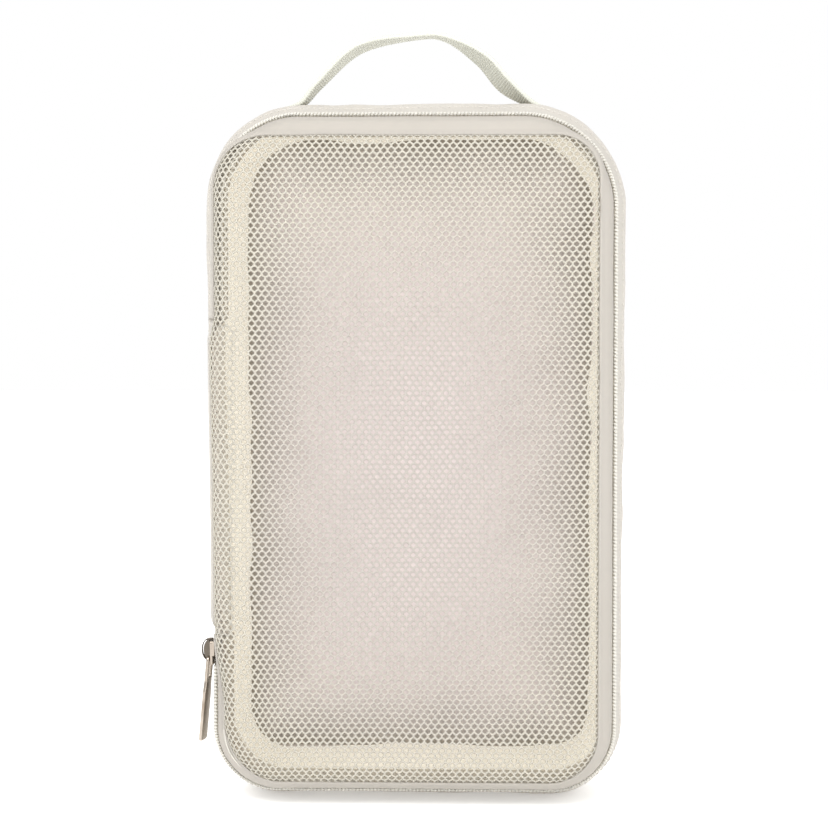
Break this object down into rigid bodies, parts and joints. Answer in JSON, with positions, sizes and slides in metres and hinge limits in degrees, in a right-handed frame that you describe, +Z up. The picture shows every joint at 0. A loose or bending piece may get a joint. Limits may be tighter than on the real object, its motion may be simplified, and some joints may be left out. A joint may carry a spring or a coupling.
{
  "type": "packing cube",
  "caption": "Soft box-shaped packing cube with a mesh lid, a coil zipper round the lid, a metal slider with a long pull, and a webbing grab handle on top.",
  "frame": {"origin": "centre of the flat resting face under the bag's lower gusset, at the mount base_rest", "axes": "+Z up along the bag's long side towards the handle, -Y towards the mesh lid, -X towards the lid's hinge side and the zipper slider"},
  "size_m": [0.1825, 0.076, 0.3259],
  "materials": {
    "shell_fabric": "plain-woven polyester, cream",
    "mesh": "knitted net, cream",
    "zipper_tape": "woven tape, cream",
    "zipper_coil": "nylon coil, cream",
    "binding": "bias binding tape",
    "webbing": "ribbed webbing, cream",
    "thread": "sewing thread",
    "slider_metal": "polished light nickel"
  },
  "bodies": {
    "shell": {"back_panel": "shell_fabric", "gusset_strip": "shell_fabric", "hinge_panel": "shell_fabric", "back_seam_binding": "binding", "gusset_seam_binding": "binding", "rear_zipper_tape": "zipper_tape", "rear_zipper_coil": "zipper_coil", "zipper_tab_lower": "shell_fabric", "zipper_tab_upper": "shell_fabric", "tab_bartack_lower": "thread", "tab_bartack_upper": "thread", "handle_end_left": "webbing", "handle_end_right": "webbing", "handle_bartack_left": "thread", "handle_bartack_right": "thread"},
    "lid": {"mesh_panel": "mesh", "lid_band": "shell_fabric", "mesh_seam_binding": "binding", "lid_seam_binding": "binding", "front_zipper_tape": "zipper_tape", "front_zipper_coil": "zipper_coil"},
    "handle": {"handle_webbing": "webbing"},
    "slider": {"slider_body": "slider_metal"},
    "pull": {"pull_tab": "slider_metal"}
  },
  "joints": [
    {"name": "lid_hinge", "type": "hinge", "parent": "shell", "child": "lid", "pos_m": [-0.0897, -0.0382, 0.13725], "axis": [0, 0, -1], "range_deg": [0, 175]},
    {"name": "handle_fold", "type": "hinge", "parent": "shell", "child": "handle", "pos_m": [0, 0.01, 0.304], "axis": [1, 0, 0], "range_deg": [-75, 75]},
    {"name": "slider_travel", "type": "slide", "parent": "shell", "child": "slider", "axis": [0, 0, -1], "range_m": [0, 0.024]},
    {"name": "pull_swing", "type": "hinge", "parent": "slider", "child": "pull", "pos_m": [-0.0876, -0.0238, 0.0611], "axis": [0, 1, 0], "range_deg": [0, 145]}
  ]
}
